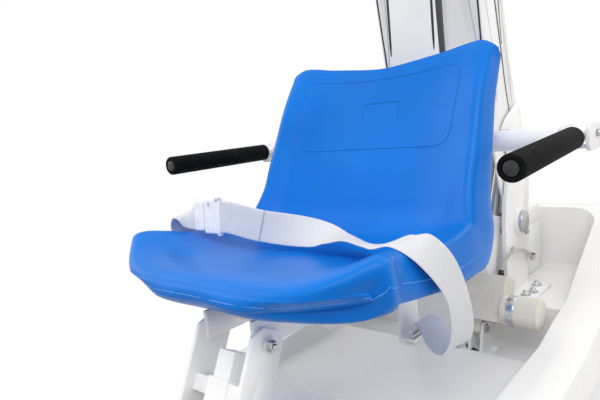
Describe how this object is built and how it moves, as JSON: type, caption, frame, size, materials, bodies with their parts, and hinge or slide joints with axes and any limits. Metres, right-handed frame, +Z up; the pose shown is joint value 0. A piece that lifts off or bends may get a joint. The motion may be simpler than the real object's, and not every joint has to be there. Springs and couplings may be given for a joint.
{
  "type": "pool patient lift",
  "caption": "Mobile battery-powered poolside lift: a wheeled tub base, a pivoting arm with a levelling link, and a hanging moulded seat with flip-up armrests, lap belt and footrest.",
  "frame": {"origin": "on the floor, under the middle of the whole lift", "axes": "+Z up, the seat faces -Y, +X is on the sitter's left"},
  "size_m": [0.6786, 1.3348, 1.7196],
  "materials": {
    "gelcoat": "white gelcoat, smooth and glossy",
    "white_coat": "white powder coat, semi-gloss",
    "plated_steel": "satin stainless steel",
    "tyre": "grey non-marking rubber on a grey hub",
    "red_plastic": "red moulded plastic",
    "white_plastic": "white moulded plastic",
    "motor_housing": "warm light grey painted housing",
    "foam_grip": "black closed-cell foam sleeve",
    "blue_shell": "blue moulded shell, satin with a fine grain",
    "webbing": "white woven polyester webbing",
    "black_plastic": "black moulded plastic",
    "green_plastic": "green moulded plastic",
    "cable": "grey cable jacket"
  },
  "bodies": {
    "base": {"base_cover": "gelcoat", "chassis_frame": "white_coat", "front_fork_left": "plated_steel", "front_fork_right": "plated_steel", "side_plate_left": "white_coat", "side_plate_right": "white_coat", "arm_pivot_shaft": "plated_steel", "level_lever_base": "white_coat", "column_rest": "white_coat", "actuator_foot": "white_coat", "actuator_foot_pin": "plated_steel", "battery_box": "white_plastic", "control_box": "white_plastic", "actuator_cable": "cable", "motor_cable": "cable"},
    "arm": {"lift_arm": "white_coat", "arm_cap": "white_plastic", "push_handle": "white_coat", "actuator_rod_pin": "plated_steel"},
    "hanger": {"head_shaft": "plated_steel", "level_lever_head": "white_coat", "hanger_column": "white_coat", "seat_frame": "white_coat", "crossbar": "white_coat", "armrest_bracket_left": "white_coat", "armrest_bracket_right": "white_coat", "armrest_pin_left": "plated_steel", "armrest_pin_right": "plated_steel", "seat_shell": "blue_shell", "belt_plate_left": "white_coat", "belt_plate_right": "white_coat", "belt_left": "webbing", "belt_right": "webbing", "buckle_body": "white_plastic", "buckle_tongue": "white_plastic", "leg_plate_left": "white_coat", "leg_plate_right": "white_coat", "footrest_sleeve": "white_coat"},
    "tie_rod": {"tie_rod": "white_coat"},
    "actuator": {"actuator_gearbox": "motor_housing", "actuator_motor": "motor_housing", "actuator_tube": "white_plastic"},
    "actuator_rod": {"actuator_rod": "plated_steel"},
    "armrest_left": {"armrest_tube_left": "white_coat", "armrest_grip_left": "foam_grip"},
    "armrest_right": {"armrest_tube_right": "white_coat", "armrest_grip_right": "foam_grip"},
    "footrest_post": {"footrest_post": "white_coat"},
    "footrest_board": {"footrest_board": "white_plastic"},
    "front_wheel_left": {"front_wheel_left": "tyre"},
    "front_wheel_right": {"front_wheel_right": "tyre"},
    "castor_fork_left": {"castor_fork_left": "plated_steel"},
    "castor_fork_right": {"castor_fork_right": "plated_steel"},
    "castor_wheel_left": {"castor_wheel_left": "tyre"},
    "castor_wheel_right": {"castor_wheel_right": "tyre"},
    "brake_pedal_left": {"brake_pedal_left": "red_plastic"},
    "brake_pedal_right": {"brake_pedal_right": "red_plastic"},
    "stop_button": {"stop_button": "red_plastic"},
    "key_up": {"key_up": "green_plastic"},
    "key_down": {"key_down": "black_plastic"}
  },
  "joints": [
    {"name": "arm_swing", "type": "hinge", "parent": "base", "child": "arm", "pos_m": [0, 0.38341, 0.383], "axis": [1, 0, 0], "range_deg": [0, 70]},
    {"name": "seat_level", "type": "hinge", "parent": "arm", "child": "hanger", "pos_m": [0, 0.21268, 1.62129], "axis": [1, 0, 0], "range_deg": [-70.5, 0.5]},
    {"name": "tie_rod_swing", "type": "hinge", "parent": "base", "child": "tie_rod", "pos_m": [-0.088, 0.4112, 0.40892], "axis": [1, 0, 0], "range_deg": [-0.5, 70.5]},
    {"name": "actuator_tilt", "type": "hinge", "parent": "base", "child": "actuator", "pos_m": [0.086, 0.23741, 0.19], "axis": [1, 0, 0], "range_deg": [-0.5, 26.5]},
    {"name": "actuator_stroke", "type": "slide", "parent": "actuator", "child": "actuator_rod", "axis": [0, 0.4285, 0.9036], "range_m": [-0.1155, 0.001]},
    {"name": "armrest_left_flip", "type": "hinge", "parent": "hanger", "child": "armrest_left", "pos_m": [0.314, 0.13141, 0.579], "axis": [-1, 0, 0], "range_deg": [0, 95]},
    {"name": "armrest_right_flip", "type": "hinge", "parent": "hanger", "child": "armrest_right", "pos_m": [-0.314, 0.13141, 0.579], "axis": [-1, 0, 0], "range_deg": [0, 95]},
    {"name": "footrest_height", "type": "slide", "parent": "hanger", "child": "footrest_post", "axis": [0, -0.454, -0.891], "range_m": [-0.03, 0.03]},
    {"name": "footrest_fold", "type": "hinge", "parent": "footrest_post", "child": "footrest_board", "pos_m": [0, -0.47341, 0.07797], "axis": [-1, 0, 0], "range_deg": [0, 90]},
    {"name": "front_wheel_left_spin", "type": "hinge", "parent": "base", "child": "front_wheel_left", "pos_m": [0.245, -0.10759, 0.05], "axis": [1, 0, 0], "continuous": true},
    {"name": "castor_left_swivel", "type": "hinge", "parent": "base", "child": "castor_fork_left", "pos_m": [0.245, 0.57741, 0.12], "axis": [0, 0, 1], "continuous": true},
    {"name": "castor_wheel_left_spin", "type": "hinge", "parent": "castor_fork_left", "child": "castor_wheel_left", "pos_m": [0.245, 0.60741, 0.05], "axis": [1, 0, 0], "continuous": true},
    {"name": "brake_left_press", "type": "hinge", "parent": "castor_fork_left", "child": "brake_pedal_left", "pos_m": [0.245, 0.62041, 0.105], "axis": [-1, 0, 0], "range_deg": [0, 12]},
    {"name": "front_wheel_right_spin", "type": "hinge", "parent": "base", "child": "front_wheel_right", "pos_m": [-0.245, -0.10759, 0.05], "axis": [1, 0, 0], "continuous": true},
    {"name": "castor_right_swivel", "type": "hinge", "parent": "base", "child": "castor_fork_right", "pos_m": [-0.245, 0.57741, 0.12], "axis": [0, 0, 1], "continuous": true},
    {"name": "castor_wheel_right_spin", "type": "hinge", "parent": "castor_fork_right", "child": "castor_wheel_right", "pos_m": [-0.245, 0.60741, 0.05], "axis": [1, 0, 0], "continuous": true},
    {"name": "brake_right_press", "type": "hinge", "parent": "castor_fork_right", "child": "brake_pedal_right", "pos_m": [-0.245, 0.62041, 0.105], "axis": [-1, 0, 0], "range_deg": [0, 12]},
    {"name": "stop_button_press", "type": "slide", "parent": "base", "child": "stop_button", "axis": [0, 0, -1], "range_m": [0, 0.005], "stiffness_N_per_m": 600, "springref_m": -0.002},
    {"name": "key_up_press", "type": "slide", "parent": "base", "child": "key_up", "axis": [0, 0, -1], "range_m": [0, 0.002], "stiffness_N_per_m": 900, "springref_m": -0.001},
    {"name": "key_down_press", "type": "slide", "parent": "base", "child": "key_down", "axis": [0, 0, -1], "range_m": [0, 0.002], "stiffness_N_per_m": 900, "springref_m": -0.001}
  ],
  "couplings": [
    {"joint": "seat_level", "follows": "arm_swing", "ratio": -1},
    {"joint": "tie_rod_swing", "follows": "arm_swing", "ratio": 1},
    {"joint": "actuator_tilt", "follows": "arm_swing", "ratio": 0.3714},
    {"joint": "actuator_stroke", "follows": "arm_swing", "m_per_rad": -0.0934}
  ]
}
